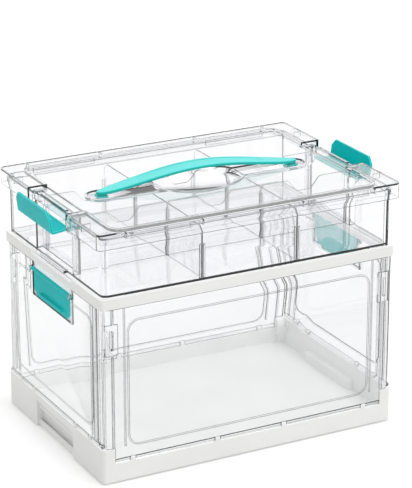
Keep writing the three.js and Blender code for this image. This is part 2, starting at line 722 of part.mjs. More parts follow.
// Shallow bowl with an oval rim: the finger dish under the handle, grown all round by a wall
function dish(grow) {
  const top = panTop;
  const radius = dishLength / 2 + grow;
  const depth = dishDepth + grow;
  const profile = [
    [0, -depth], [radius * dishFloorShare, -depth], [radius - depth / 2, -depth / 2],
    [radius, 0], [radius, grow > 0 ? 0 : overrun], [0, grow > 0 ? 0 : overrun],
  ].map(([a, b]) => new THREE.Vector2(a, b));
  const widthShare = (dishWidth / 2 + grow) / radius;
  const geometry = new THREE.LatheGeometry(profile, dishSides).rotateX(Math.PI / 2);
  return solid(geometry.scale(1, widthShare, 1).translate(0, 0, top));
}

function lid() {
  const skirtZ = [lidTop - lidHeight, lidTop];
  const outline = (inset) => roundedRectangle(
    2 * (lidHalfX - inset), 2 * (lidHalfY - inset), lidCorner - inset);
  const skirt = cut(
    prism(outline(0), skirtZ), prism(outline(sheet), [skirtZ[0] - overrun, lidTop - sheet]));
  const pan = (grow, zs) => prism(roundedRectangle(
    2 * (panX + grow), 2 * (panY + grow), panRadius + grow), zs);
  const stepped = join(
    cut(skirt, pan(0, [panTop, lidTop + overrun])),
    pan(sheet, [panTop - sheet, lidTop - sheet / 2]));
  const top = cut(stepped, pan(0, [panTop, lidTop + overrun]));
  const notchHalf = lidNotchWidth / 2;
  const notches = ends.map((side) => across(range(side, panX, lidHalfX + overrun), notchHalf, [
    skirtZ[0] - overrun, lidTop + overrun]));
  const apronHalf = notchHalf - apronSide;
  const bandX = trayHalfX + trayBandOut + 2 * clearance;
  const parts = ends.map((side) => [
    across(range(side, panX - sheet, apronX), notchHalf + overrun, [shelfTop - sheet, shelfTop]),
    across(range(side, apronX - sheet, apronX), apronHalf, [lidTop - apronLow, shelfTop]),
    across(range(side, lidBarX - lidBarDepth, lidBarX), lidBarWidth / 2, [
      shelfTop - sheet / 2, shelfTop + lidBarRise]),
    ...ends.map((end) => join(
      block(range(side, panX, lidHalfX - sheet / 2), range(end, notchHalf, notchHalf + sheet), [
        trayTop + clearance, lidTop - sheet / 2]),
      block(range(side, bandX, lidHalfX - sheet / 2), range(end, notchHalf, notchHalf + sheet), [
        skirtZ[0], lidTop - sheet / 2]))),
  ]).flat();
  const ribZ = [trayTop + clearance, lidTop - sheet / 2];
  const endRibs = lidEndRibShares.map((share) => share * lidHalfY).map((y) => ends.map((side) => block(
    range(side, lidHalfX - lidRibLength, lidHalfX - sheet / 2),
    [y - lidRibWall / 2, y + lidRibWall / 2], ribZ)));
  const longRibs = lidLongRibShares.map((share) => share * lidHalfX).map((x) => ends.map((side) => block(
    [x - lidRibWall / 2, x + lidRibWall / 2],
    range(side, lidHalfY - lidRibLength, lidHalfY - sheet / 2), ribZ)));
  const locators = ends.map((sx) => ends.map((sy) => block(
    range(sx, ...locatorShares.map((share) => share * lidHalfX)),
    range(sy, trayInnerY - clearance - sheet, trayInnerY - clearance),
    [trayTop - locatorDrop, lidTop - sheet / 2])));
  const channelShape = roundedRectangle(channelLength, channelWidth, channelWidth / 2);
  const wide = roundedRectangle(
    channelLength + 2 * sheet, channelWidth + 2 * sheet, channelWidth / 2 + sheet);
  const tub = prism(wide, [channelFloor - sheet, panTop - sheet / 2]);
  const channel = prism(channelShape, [channelFloor, panTop + overrun]);
  const slots = ends.map((side) => prism(
    roundedRectangle(slotLength, slotWidth, slotWidth / 2),
    [channelFloor - sheet - overrun, channelFloor + overrun],
  ).translate([side * slotCentre, 0, 0]));
  const whole = join(
    cut(top, notches), parts, endRibs.flat(), longRibs.flat(), locators.flat(), tub, dish(sheet));
  add('lid', cut(whole, channel, dish(0), slots), clear);
}

// Strap with a flat end over each stud and a bowed middle, swept along its own curve
function strap() {
  const half = strapSpan / 2;
  const seat = channelFloor + studFlangeThickness + 2 * clearance;
  const corner = strapRoundingShare * strapThickness;
  const positions = [];
  const index = [];
  for (let i = 0; i <= strapSteps; i += 1) {
    const share = 2 * i / strapSteps - 1;
    const x = half * share;
    const bow = Math.cos(Math.PI * share / 2) ** 2;
    const mix = strapBowShare * bow + (1 - strapBowShare) * (1 - share ** 2);
    const low = seat + strapRise * mix;
    const closeIn = Math.sqrt(1 - share ** strapTaper);
    const widthHere = strapEndWidth * closeIn + (strapWidth - strapEndWidth) * bow;
    const w = Math.max(widthHere, strapEndWidth * strapTipShare) / 2;
    for (const [y, z] of [
      [-w + corner, 0], [w - corner, 0], [w, corner], [w, strapThickness - corner],
      [w - corner, strapThickness], [-w + corner, strapThickness],
      [-w, strapThickness - corner], [-w, corner],
    ]) {
      positions.push(x, y, low + z);
    }
  }
  for (let i = 0; i < strapSteps; i += 1) {
    for (let j = 0; j < strapSides; j += 1) {
      const a = i * strapSides + j;
      const b = i * strapSides + (j + 1) % strapSides;
      index.push(a, b, a + strapSides, b, b + strapSides, a + strapSides);
    }
  }
  const last = strapSteps * strapSides;
  for (let j = 1; j < strapSides - 1; j += 1) {
    index.push(0, j + 1, j, last, last + j, last + j + 1);
  }
  const geometry = new THREE.BufferGeometry();
  geometry.setAttribute('position', new THREE.Float32BufferAttribute(positions, 3));
  geometry.setIndex(index);
  return solid(geometry);
}

// Stud that holds an end of the strap and slides in the lid's slot
function stud() {
  const flangeZ = [channelFloor + clearance, channelFloor + clearance + studFlangeThickness];
  const headTop = channelFloor - sheet - clearance;
  const flange = across([-studFlange / 2, studFlange / 2], studFlange / 2, flangeZ);
  const shank = across([-studShankLength / 2, studShankLength / 2], studShankWidth / 2, [
    headTop - studHeadThickness / 2, flangeZ[1]]);
  const head = across([-studHead / 2, studHead / 2], studHead / 2, [headTop - studHeadThickness, headTop]);
  return join(flange, shank, head);
}

function handle() {
  add('handle_strap', strap(), teal);
  const place = (strapSpan - studFlange) / 2;
  ends.forEach((side) => {
    add(`${side < 0 ? 'left' : 'right'}_handle_stud`, stud(), teal, [side * place, 0, 0]);
  });
}

base();
add('front_panel', longPanel(frontWallHeight), clear);
add('back_panel', longPanel(backWallHeight), clear, [0, 0, 0], Math.PI);
add('right_end_panel', endPanel(), clear);
add('left_end_panel', endPanel(), clear, [0, 0, 0], Math.PI);
rim();
add('right_box_latch', boxLatch(), teal, [latchPivotX, 0, latchPivotZ]);
add('left_box_latch', boxLatch(), teal, [-latchPivotX, 0, latchPivotZ], Math.PI);
tray();
add('right_tray_latch', trayLatch(), teal, [trayPivotX, 0, trayPivotZ]);
add('left_tray_latch', trayLatch(), teal, [-trayPivotX, 0, trayPivotZ], Math.PI);
dividers();
lid();
handle();

export default group;
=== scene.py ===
"""A craft storage box in three tiers: a folding box, a divided tray and a lid with a strap."""

import math

import bmesh
import bpy
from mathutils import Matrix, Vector


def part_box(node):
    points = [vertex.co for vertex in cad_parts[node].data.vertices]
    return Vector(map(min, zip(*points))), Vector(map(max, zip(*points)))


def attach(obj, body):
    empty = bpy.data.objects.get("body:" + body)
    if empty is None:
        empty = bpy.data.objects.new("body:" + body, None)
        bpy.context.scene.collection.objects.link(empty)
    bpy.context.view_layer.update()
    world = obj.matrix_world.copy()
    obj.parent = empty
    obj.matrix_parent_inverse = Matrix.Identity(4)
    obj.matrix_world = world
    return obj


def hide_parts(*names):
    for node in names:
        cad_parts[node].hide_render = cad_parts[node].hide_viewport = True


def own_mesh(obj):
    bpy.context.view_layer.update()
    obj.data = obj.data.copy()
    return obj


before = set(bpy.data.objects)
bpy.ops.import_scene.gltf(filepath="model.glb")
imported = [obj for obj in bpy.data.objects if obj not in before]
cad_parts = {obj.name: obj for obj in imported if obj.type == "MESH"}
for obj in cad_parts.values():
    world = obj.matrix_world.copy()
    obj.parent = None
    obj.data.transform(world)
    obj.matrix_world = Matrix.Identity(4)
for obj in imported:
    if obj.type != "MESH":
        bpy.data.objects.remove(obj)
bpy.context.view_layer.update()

bl_info = {
    "name": "Craft Storage Box",
    "version": (1, 0, 0),
    "blender": (4, 5, 0),
    "location": "View3D > Sidebar > Craft Box",
    "description": "Dresses the craft storage box and sets up its studio",
    "category": "Object",
}

MM = 0.001
ENDS = ("left", "right")
FACES = ("front", "back")
COLUMNS = ("left", "middle", "right")

WELD_DISTANCE = 0.002 * MM  # closer corners of a node's loose triangles are one corner
SMOOTH_ANGLE = math.radians(32)  # faces that meet at less are shaded as one round face
SOFT_ANGLE = math.radians(40)  # edges sharper than this are softened
SOFT_SEGMENTS = 2
SOFT_BASE = 0.35 * MM  # how far the base's edges are cut back
SOFT_RIM = 0.5 * MM
SOFT_LATCH = 0.3 * MM
EDGE_SAMPLES = 8
EDGE_TURN = 0.88  # cosine of the turn at which an edge line is at its full strength
CLEAR_PASSES = 32  # clear walls that light is followed through
STRAIGHT_PASSES = 48

GRIP_WIDTH = 95.6 * MM  # of the finger recess in each end of the base
# Section of the lining in mm, outwards and up. It stays under and outside the folded front panel.
GRIP_LINING = (
    (173.1, 21.3), (173.5, 22.0), (175.2, 22.6), (175.75, 23.4), (175.75, 25.8), (176.3, 26.7),
    (177.0, 26.3), (176.6, 22.6), (174.0, 20.6))


def linear(code):
    """A colour written as an sRGB hex value, as linear red, green and blue."""
    channels = [int(code[at:at + 2], 16) / 255 for at in (1, 3, 5)]
    return [c / 12.92 if c <= 0.04045 else ((c + 0.055) / 1.055) ** 2.4 for c in channels]


def colour_property(name, description, code):
    """A colour setting whose default is an sRGB hex value."""
    return bpy.props.FloatVectorProperty(
        name=name, description=description, subtype="COLOR", size=3, min=0, max=1,
        default=linear(code))


def length_property(name, description, millimetres):
    """A length setting whose default is in millimetres."""
    return bpy.props.FloatProperty(
        name=name, description=description, unit="LENGTH", subtype="DISTANCE", min=0,
        precision=4, default=millimetres * MM)


def share_property(name, description, share):
    """A setting from 0 to 1."""
    return bpy.props.FloatProperty(
        name=name, description=description, subtype="FACTOR", min=0, max=1, default=share)


class CraftBoxStudio(bpy.types.PropertyGroup):
    """The camera, floor and lamps around the box."""

    azimuth: bpy.props.FloatProperty(
        name="Azimuth", description="The camera's turn from the box's front, below 0 to the left",
        subtype="ANGLE", unit="ROTATION", default=math.radians(-27.97))
    elevation: bpy.props.FloatProperty(
        name="Elevation", description="The camera's height above the horizon",
        subtype="ANGLE", unit="ROTATION", default=math.radians(20.15))
    distance: length_property("Distance", "From the camera to the point it looks at", 2530)
    target: bpy.props.FloatVectorProperty(
        name="Target", description="The point that the camera looks at", size=3,
        subtype="TRANSLATION", unit="LENGTH", default=(7.74 * MM, -4.26 * MM, 203.87 * MM))
    lens: bpy.props.FloatProperty(
        name="Lens", description="Focal length, in mm", unit="CAMERA", default=167.34)
    sensor: bpy.props.FloatProperty(
        name="Sensor", description="Width of the sensor, in mm", unit="CAMERA", default=36)
    floor_reach: length_property("Floor reach", "From the box to the edge of the floor", 12000)
    floor_colour: colour_property("Floor", "Pale matt floor", "#DEDEDD")
    floor_glow: share_property("Floor glow", "Lifts the floor where it is seen", 0.32)
    light_colour: colour_property("Light", "Colour of the even light and the backdrop", "#FFFFFF")
    plain_light: share_property("Plain light", "Even light from all round", 0.68)
    key_light: bpy.props.FloatProperty(
        name="Key light", description="Soft lamp above the front", min=0, default=0.75)
    fill_light: bpy.props.FloatProperty(
        name="Fill light", description="Soft lamp on the right", min=0, default=0.45)
    back_light: bpy.props.FloatProperty(
        name="Back light", description="Soft lamp behind the box", min=0, default=0.35)


class CraftBoxFinish(bpy.types.PropertyGroup):
    """Colours and surfaces of the plastics."""

    clear: colour_property("Clear", "Tint of the clear styrene", "#FDFDFE")
    panel: colour_property("Panel", "Tint of the clear copolyester", "#F9F9FA")
    passing: colour_property("Passing light", "Tint of light that goes through a wall", "#FFFFFF")
    # Painted shade: grey lines on clear edges, standing in for the dark that bent light shows
    # there.
    clear_line: colour_property("Clear line", "Grey of the thin lines on clear edges", "#33373A")
    clear_depth: colour_property("Clear depth", "Colour seen along a clear edge", "#C2C6C9")
    clear_density: bpy.props.FloatProperty(
        name="Clear density", description="How fast a clear edge darkens, per metre",
        min=0, default=14)
    white: colour_property("White", "White of the base and the rim", "#F6F6F5")
    latch: colour_property("Latch", "Teal of the latches", "#06C4C4")
    # Painted highlight: the paler teal along the latches' edges.
    latch_edge: colour_property("Latch edge", "Paler teal where light gathers", "#7DEDE8")
    # Painted light and shade: the strap's upper face is painted pale and its sides a deeper teal,
    # by which way each face turns.
    strap: colour_property("Strap", "Pale teal of the strap's upper face", "#72E8E4")
    strap_flank: colour_property("Strap flank", "Deeper teal of the strap's sides", "#26BDB5")
    # Painted highlight: the paler teal along the strap's edges.
    strap_edge: colour_property("Strap edge", "Paler teal of the strap's edges", "#A6F7F2")
    rubber: colour_property("Rubber", "Grey of the feet", "#8A8C8C")
    # Painted shade: widths of the grey lines on clear edges.
    styrene_line: length_property("Styrene line", "Width of the lines on styrene edges", 0.8)
    copolyester_line: length_property(
        "Copolyester line", "Width of the lines on copolyester edges", 1.0)
    # Painted highlight: width of the pale lines on teal edges.
    teal_line: length_property("Teal line", "Width of the pale lines on teal edges", 0.9)


class CraftBoxStrap(bpy.types.PropertyGroup):
    """Sizes of the strap, which bows from one stud to the other."""

    width: length_property("Width", "Across the middle of the strap", 25)
    end_width: length_property("End width", "Across the strap over a stud", 20)
    thickness: length_property("Thickness", "Of the strap", 4.5)
    rise: length_property("Rise", "How high the middle bows above the ends", 15)
    grip_depth: length_property("Grip depth", "Of the shallow dish along the top", 1.2)
    grip_rim: length_property("Grip rim", "Raised rim on each side of the dish", 3.2)
    grip_wall: length_property("Grip wall", "Width of the slope down into the dish", 1.2)
    grip_share: share_property("Grip share", "Share of the span that the dish takes", 0.64)
    grip_end: share_property("Grip end", "Share of the half span that the dish's end takes", 0.03)


def studio():
    """The studio's settings."""
    return bpy.context.scene.craft_box_studio


def finish():
    """The settings of the plastics."""
    return bpy.context.scene.craft_box_finish


def add_node(tree, kind, settings=None, **sockets):
    """Adds a node to a tree.

    A socket is given by its name, with _ for spaces, or by in and its number.
    """
    node = tree.nodes.new(kind)
    for name, value in (settings or {}).items():
        setattr(node, name, value)
    for name, value in sockets.items():
        at = int(name[2:]) if name[:2] == "in" and name[2:].isdigit() else name.replace("_", " ")
        if isinstance(value, bpy.types.NodeSocket):
            tree.links.new(value, node.inputs[at])
        else:
            node.inputs[at].default_value = value
    return node


def new_tree(owner):
    """An emptied node tree of a material or world."""
    owner.use_nodes = True
    owner.node_tree.nodes.clear()
    return owner.node_tree


def seen_rays(tree):
    """1 for what the camera sees, straight, mirrored or through clear plastic."""
    path = add_node(tree, "ShaderNodeLightPath")
    straight = add_node(
        tree, "ShaderNodeMath", {"operation": "MAXIMUM"},
        in0=path.outputs["Is Camera Ray"], in1=path.outputs["Is Glossy Ray"])
    return add_node(
        tree, "ShaderNodeMath", {"operation": "MAXIMUM"},
        in0=straight.outputs[0], in1=path.outputs["Is Transmission Ray"]).outputs[0]


def grain(tree, size, detail=2.0, stretch=(1, 1, 1)):
    """Noise from 0 to 1 in lumps size metres across, longer where stretch is under 1."""
    place = add_node(tree, "ShaderNodeTexCoord")
    scaled = add_node(
        tree, "ShaderNodeMapping", {"vector_type": "POINT"},
        Vector=place.outputs["Object"], Scale=[s / size for s in stretch])
    return add_node(
        tree, "ShaderNodeTexNoise", {"normalize": True},
        Vector=scaled.outputs[0], Scale=1.0, Detail=detail, Roughness=0.5).outputs["Fac"]


def ranged(tree, value, low, high, start=0.35, end=0.65):
    """A value between start and end, where most noise lies, spread from low to high."""
    return add_node(
        tree, "ShaderNodeMapRange", {"clamp": True},
        Value=value, From_Min=start, From_Max=end, To_Min=low, To_Max=high).outputs["Result"]


def bumped(tree, height, distance):
    """A normal with bumps that are distance metres high."""
    return add_node(
        tree, "ShaderNodeBump", Strength=1.0, Distance=distance, Height=height).outputs[0]


def mixed(tree, share, low, high):
    """A colour between two others."""
    return add_node(
        tree, "ShaderNodeMix", {"data_type": "RGBA"}, in0=share, in6=low, in7=high).outputs[2]


def edges(tree, radius):
    """1 on a moulding's edges, 0 on its faces, from how far a rounded normal turns away."""
    rounded = add_node(tree, "ShaderNodeBevel", {"samples": EDGE_SAMPLES}, Radius=radius)
    flat = add_node(tree, "ShaderNodeNewGeometry")
    turn = add_node(
        tree, "ShaderNodeVectorMath", {"operation": "DOT_PRODUCT"},
        in0=rounded.outputs[0], in1=flat.outputs["Normal"])
    return ranged(tree, turn.outputs["Value"], 0.0, 1.0, start=1.0, end=EDGE_TURN)


def rgba(colour, share=1.0):
    """A colour with its alpha, darker where share is under 1."""
    return [*(c * share for c in colour), 1.0]


def clear_moulding(name, tint, ior, line):
    """A clear moulding whose edges, line metres wide, carry painted shade as thin grey lines."""
    material = bpy.data.materials.new(name)
    tree = new_tree(material)
    ripple = grain(tree, size=60 * MM, detail=1.0, stretch=(0.5, 0.5, 1))
    rub = grain(tree, size=9 * MM, detail=3.0, stretch=(0.25, 1, 1))
    # Painted shade: the colour turns grey along the edges.
    plastic = add_node(
        tree, "ShaderNodeBsdfPrincipled",
        Base_Color=mixed(tree, edges(tree, line), rgba(tint), rgba(finish().clear_line)),
        IOR=ior, Transmission_Weight=1.0, Roughness=ranged(tree, rub, low=0.0, high=0.03),
        Normal=bumped(tree, ripple, distance=0.03 * MM))
    # Lamps and bounced light pass straight through, as they do through a thin clear wall.
    passing = add_node(tree, "ShaderNodeBsdfTransparent", Color=rgba(finish().passing))
    path = add_node(tree, "ShaderNodeLightPath")
    unseen = add_node(
        tree, "ShaderNodeMath", {"operation": "MAXIMUM"},
        in0=path.outputs["Is Shadow Ray"], in1=path.outputs["Is Diffuse Ray"]).outputs[0]
    surface = add_node(
        tree, "ShaderNodeMixShader",
        in0=unseen, in1=plastic.outputs[0], in2=passing.outputs[0])
    density = ranged(tree, unseen, finish().clear_density, 0.0, start=0.0, end=1.0)
    depth = add_node(
        tree, "ShaderNodeVolumeAbsorption", Color=rgba(finish().clear_depth), Density=density)
    add_node(
        tree, "ShaderNodeOutputMaterial", Surface=surface.outputs[0], Volume=depth.outputs[0])
    return material


def moulded_clear_styrene():
    """Clear general-purpose polystyrene, injection-moulded in a polished tool."""
    # Polystyrene bends light strongly, so corners and ribs look dark, drawn here as painted shade
    # in thin grey lines;
    # a polished tool leaves it glossy, with slow ripples where the melt flowed and hairline
    # handling marks.
    return clear_moulding(
        "moulded_clear_styrene", finish().clear, ior=1.59, line=finish().styrene_line)


def moulded_clear_copolyester():
    """Clear copolyester, injection-moulded, tough enough for hinges and snap clips."""
    # It is a little greyer than polystyrene, so what stands behind a panel looks slightly dimmed.
    return clear_moulding(
        "moulded_clear_copolyester", finish().panel, ior=1.57, line=finish().copolyester_line)


def moulded_white_polypropylene():
    """White polypropylene, injection-moulded in a tool with a fine spark-eroded texture."""
    # The waxy plastic takes a broad soft highlight, a fine even stipple and faint flow clouds.
    material = bpy.data.materials.new("moulded_white_polypropylene")
    tree = new_tree(material)
    cloud = grain(tree, size=55 * MM)
    stipple = grain(tree, size=0.9 * MM)  # real grit is about 0.1 mm, drawn coarser to show
    colour = mixed(
        tree, ranged(tree, cloud, 0.0, 1.0),
        rgba(finish().white, share=0.965), rgba(finish().white))
    plastic = add_node(
        tree, "ShaderNodeBsdfPrincipled",
        Base_Color=colour, Roughness=ranged(tree, stipple, low=0.38, high=0.5), IOR=1.49,
        Subsurface_Weight=0.08, Subsurface_Radius=[2 * MM] * 3, Subsurface_Scale=1.0,
        Normal=bumped(tree, stipple, distance=0.02 * MM))
    add_node(tree, "ShaderNodeOutputMaterial", Surface=plastic.outputs[0])
    return material


def translucent_teal(name, face, flank, edge, rough, stretch):
    """A teal moulding that glows a little where it is thin, with painted highlights on its edges
    and painted shade, a deeper teal, on its flanks.
    """
    # Its gloss is low, because light from all round would wash the colour out.
    material = bpy.data.materials.new(name)
    tree = new_tree(material)
    swirl = grain(tree, size=16 * MM, detail=3.0, stretch=stretch)
    fine = grain(tree, size=0.7 * MM)  # real polish marks are finer, drawn coarser to show
    flat = add_node(tree, "ShaderNodeNewGeometry")
    upward = add_node(
        tree, "ShaderNodeSeparateXYZ", Vector=flat.outputs["True Normal"]).outputs["Z"]
    # Painted light and shade: level faces take the face colour and flanks the deeper flank
    # colour, by which way the true normal points.
    top = ranged(tree, upward, 0.0, 1.0, start=0.2, end=0.95)  # 0 on a flank, 1 on a level face
    dark, light = (
        mixed(tree, top, rgba(flank, share), rgba(face, share)) for share in (0.93, 1.0))
    shade = mixed(tree, ranged(tree, swirl, 0.0, 1.0), dark, light)
    # Painted highlight: pale teal lines along the edges.
    colour = mixed(tree, edges(tree, finish().teal_line), shade, rgba(edge))
    plastic = add_node(
        tree, "ShaderNodeBsdfPrincipled",
        Base_Color=colour, IOR=1.54, Specular_IOR_Level=0.04,
        Roughness=ranged(tree, fine, low=rough, high=rough + 0.07),
        Subsurface_Weight=0.25, Subsurface_Radius=[0.6 * MM, 2.2 * MM, 2.2 * MM],
        Subsurface_Scale=1.0, Normal=bumped(tree, fine, distance=0.01 * MM))
    add_node(tree, "ShaderNodeOutputMaterial", Surface=plastic.outputs[0])
    return material


def moulded_teal_abs():
    """Teal ABS, injection-moulded and left glossy."""
    # ABS is opaque, and its edges carry painted highlights as thin pale lines.
    return translucent_teal(
        "moulded_teal_abs", finish().latch, finish().latch, finish().latch_edge,
        rough=0.24, stretch=(1, 0.4, 1))


def moulded_teal_elastomer():
    """Teal thermoplastic elastomer, moulded in a lightly blasted tool."""
    # The flexible strap is milkier and duller than the latches, drawn out along its length; its
    # upper face is painted pale as if lit, and its sides a deeper teal as painted shade.
    return translucent_teal(
        "moulded_teal_elastomer", finish().strap, finish().strap_flank, finish().strap_edge,
        rough=0.34, stretch=(0.25, 1, 1))


def moulded_grey_rubber():
    """Grey rubber, compression-moulded."""
    # The mould leaves it matt with fine pores, and it holds dust in patches.
    material = bpy.data.materials.new("moulded_grey_rubber")
    tree = new_tree(material)
    dust = grain(tree, size=3 * MM, detail=4.0)
    pores = grain(tree, size=0.5 * MM)
    colour = mixed(
        tree, ranged(tree, dust, 0.0, 1.0),
        rgba(finish().rubber, share=0.8), rgba(finish().rubber))
    rubber = add_node(
        tree, "ShaderNodeBsdfPrincipled",
        Base_Color=colour, Roughness=ranged(tree, dust, low=0.7, high=0.9), IOR=1.52,
        Normal=bumped(tree, pores, distance=0.03 * MM))
    add_node(tree, "ShaderNodeOutputMaterial", Surface=rubber.outputs[0])
    return material


MAKERS = {
    "clear": moulded_clear_styrene,
    "panel": moulded_clear_copolyester,
    "white": moulded_white_polypropylene,
    "latch": moulded_teal_abs,
    "strap": moulded_teal_elastomer,
    "rubber": moulded_grey_rubber,
}


def material_of(kind):
    """The material of that kind, made once."""
    maker = MAKERS[kind]
    return bpy.data.materials.get(maker.__name__) or maker()


def smooth_shading():
    """A node group that joins a node's loose triangles and shades its round faces smooth."""
    name = "smooth_moulding"
    found = bpy.data.node_groups.get(name)
    if found:
        return found
    group = bpy.data.node_groups.new(name, "GeometryNodeTree")
    group.interface.new_socket("Geometry", in_out="INPUT", socket_type="NodeSocketGeometry")
    group.interface.new_socket("Geometry", in_out="OUTPUT", socket_type="NodeSocketGeometry")
    start = add_node(group, "NodeGroupInput")
    welded = add_node(
        group, "GeometryNodeMergeByDistance",
        Geometry=start.outputs[0], Distance=WELD_DISTANCE)
    bare = add_node(
        group, "GeometryNodeRemoveAttribute", Geometry=welded.outputs[0], Name="custom_normal")
    angle = add_node(group, "GeometryNodeInputMeshEdgeAngle")
    low = add_node(
        group, "FunctionNodeCompare", {"data_type": "FLOAT", "operation": "LESS_EQUAL"},
        in0=angle.outputs["Unsigned Angle"], in1=SMOOTH_ANGLE)
    faces = add_node(
        group, "GeometryNodeSetShadeSmooth", {"domain": "FACE"},
        Geometry=bare.outputs[0], Shade_Smooth=True)
    sharp = add_node(
        group, "GeometryNodeSetShadeSmooth", {"domain": "EDGE"},
        Geometry=faces.outputs[0], Shade_Smooth=low.outputs[0])
    add_node(group, "NodeGroupOutput", Geometry=sharp.outputs[0])
    return group


def dress(node, kind, bevel=0.0):
    """Gives a CAD node its material, smooth round faces and, with a bevel, softened edges."""
    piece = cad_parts[node]
    piece.data.materials.clear()
    piece.data.materials.append(material_of(kind))
    piece.modifiers.new("smooth_moulding", "NODES").node_group = smooth_shading()
    if bevel:
        soft = piece.modifiers.new("soft_edges", "BEVEL")
        soft.width = bevel
        soft.segments = SOFT_SEGMENTS
        soft.limit_method = "ANGLE"
        soft.angle_limit = SOFT_ANGLE
        soft.harden_normals = True
        soft.use_clamp_overlap = True


def new_piece(name, mesh_parts, kind, body):
    """A new object from a bmesh, which rides on a body and belongs to a material slot."""
    mesh = bpy.data.meshes.new(name)
    mesh_parts.to_mesh(mesh)
    mesh_parts.free()
    mesh.materials.append(material_of(kind))
    piece = bpy.data.objects.new(name, mesh)
    bpy.context.scene.collection.objects.link(piece)
    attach(piece, body)
    return piece


def eased(value):
    """From 0 to 1 without a corner at either end."""
    t = min(max(value, 0.0), 1.0)
    return t * t * (3 - 2 * t)


def facing(azimuth, elevation):
    """The direction from the box towards a camera or lamp, turned from the box's front."""
    level = math.cos(elevation)
    return Vector((
        math.sin(azimuth) * level, -math.cos(azimuth) * level, math.sin(elevation)))


def aimed(name, data, place, back):
    """A new camera or lamp at a place, looking against the direction back."""
    thing = bpy.data.objects.new(name, data)
    bpy.context.scene.collection.objects.link(thing)
    thing.location = place
    thing.rotation_mode = "QUATERNION"
    thing.rotation_quaternion = (-back).to_track_quat("-Z", "Y")
    return thing


class CRAFTBOX_OT_stage(bpy.types.Operator):
    """Sets the floor, the even light, the lamps and the camera"""

    bl_idname = "craftbox.stage"
    bl_label = "Studio"

    # Name, spread, azimuth and height of each lamp, in degrees
    lamps = (
        ("key", 50, 15, 62),
        ("fill", 60, 55, 40),
        ("back", 60, 170, 50),
    )
    clip = (0.05, 60)  # nearest and farthest that the camera sees, in metres
    cloud_size = 400 * MM  # of the faint clouds in the floor's paint
    cloud_shade = 0.995

    def execute(self, context):
        set_up = studio()
        scene = context.scene
        scene.view_settings.view_transform = "Standard"
        # Light passes many clear walls, so more passes are followed before it counts as lost.
        scene.cycles.max_bounces = CLEAR_PASSES
        scene.cycles.transmission_bounces = CLEAR_PASSES
        scene.cycles.transparent_max_bounces = STRAIGHT_PASSES
        self.world(scene, set_up)
        self.floor(set_up)
        for name, spread, azimuth, height in self.lamps:
            data = bpy.data.lights.new(f"{name}_lamp", "SUN")
            data.energy = getattr(set_up, f"{name}_light")
            data.angle = math.radians(spread)
            back = facing(math.radians(azimuth), math.radians(height))
            aimed(f"{name}_lamp", data, back, back)
        self.camera(scene, set_up)
        return {"FINISHED"}

    def world(self, scene, set_up):
        """Even light, and white where the camera looks past the box."""
        world = bpy.data.worlds.new("studio_light")
        scene.world = world
        tree = new_tree(world)
        colour = rgba(set_up.light_colour)
        plain = add_node(
            tree, "ShaderNodeBackground", Color=colour, Strength=set_up.plain_light)
        backdrop = add_node(tree, "ShaderNodeBackground", Color=colour, Strength=1.0)
        light = add_node(
            tree, "ShaderNodeMixShader",
            in0=seen_rays(tree), in1=plain.outputs[0], in2=backdrop.outputs[0])
        add_node(tree, "ShaderNodeOutputWorld", Surface=light.outputs[0])

    def floor(self, set_up):
        """A wide matt floor that keeps the box's shadow."""
        material = bpy.data.materials.new("matt_pale_floor")
        tree = new_tree(material)
        cloud = ranged(tree, grain(tree, self.cloud_size), 0.0, 1.0)
        colour = set_up.floor_colour
        matt = add_node(
            tree, "ShaderNodeBsdfDiffuse",
            Color=mixed(tree, cloud, rgba(colour, self.cloud_shade), rgba(colour)))
        glow = add_node(
            tree, "ShaderNodeEmission",
            Color=rgba(set_up.light_colour), Strength=set_up.floor_glow)
        lifted = add_node(
            tree, "ShaderNodeAddShader", in0=matt.outputs[0], in1=glow.outputs[0])
        shown = add_node(
            tree, "ShaderNodeMixShader",
            in0=seen_rays(tree), in1=matt.outputs[0], in2=lifted.outputs[0])
        add_node(tree, "ShaderNodeOutputMaterial", Surface=shown.outputs[0])
        mesh = bpy.data.meshes.new("floor")
        reach = set_up.floor_reach
        mesh.from_pydata(
            [(-reach, -reach, 0), (reach, -reach, 0), (reach, reach, 0), (-reach, reach, 0)],
            [], [(0, 1, 2, 3)])
        mesh.materials.append(material)
        floor = bpy.data.objects.new("floor", mesh)
        bpy.context.scene.collection.objects.link(floor)

    def camera(self, scene, set_up):
        """A camera at the photograph's viewing angle."""
        data = bpy.data.cameras.new("camera")
        data.lens = set_up.lens
        data.sensor_width = set_up.sensor
        data.clip_start, data.clip_end = self.clip
        back = facing(set_up.azimuth, set_up.elevation)
        place = Vector(set_up.target) + back * set_up.distance
        scene.camera = aimed("camera", data, place, back)


class CRAFTBOX_OT_base(bpy.types.Operator):
    """Dresses the white base and its rubber feet"""

    bl_idname = "craftbox.base"
    bl_label = "Base and feet"

    def execute(self, context):
        dress("base", "white", SOFT_BASE)
        for face in FACES:
            for end in ENDS:
                dress(f"{face}_{end}_foot", "rubber")
        for end, side in zip(ENDS, (-1, 1)):
            self.grip_lining(end, side)
        return {"FINISHED"}

    def grip_lining(self, end, side):
        """Lines the sloping roof of a finger recess, so that no slit opens into the box."""
        outline = [(x * MM, z * MM) for x, z in GRIP_LINING]
        half = GRIP_WIDTH / 2
        shape = bmesh.new()
        front, back = (
            [shape.verts.new((side * x, y, z)) for x, z in outline] for y in (-half, half))
        shape.faces.new(front)
        shape.faces.new(list(reversed(back)))
        for j in range(len(outline)):
            k = (j + 1) % len(outline)
            shape.faces.new((front[j], back[j], back[k], front[k]))
        bmesh.ops.recalc_face_normals(shape, faces=shape.faces)
        new_piece(f"{end}_grip_lining", shape, "white", "base")


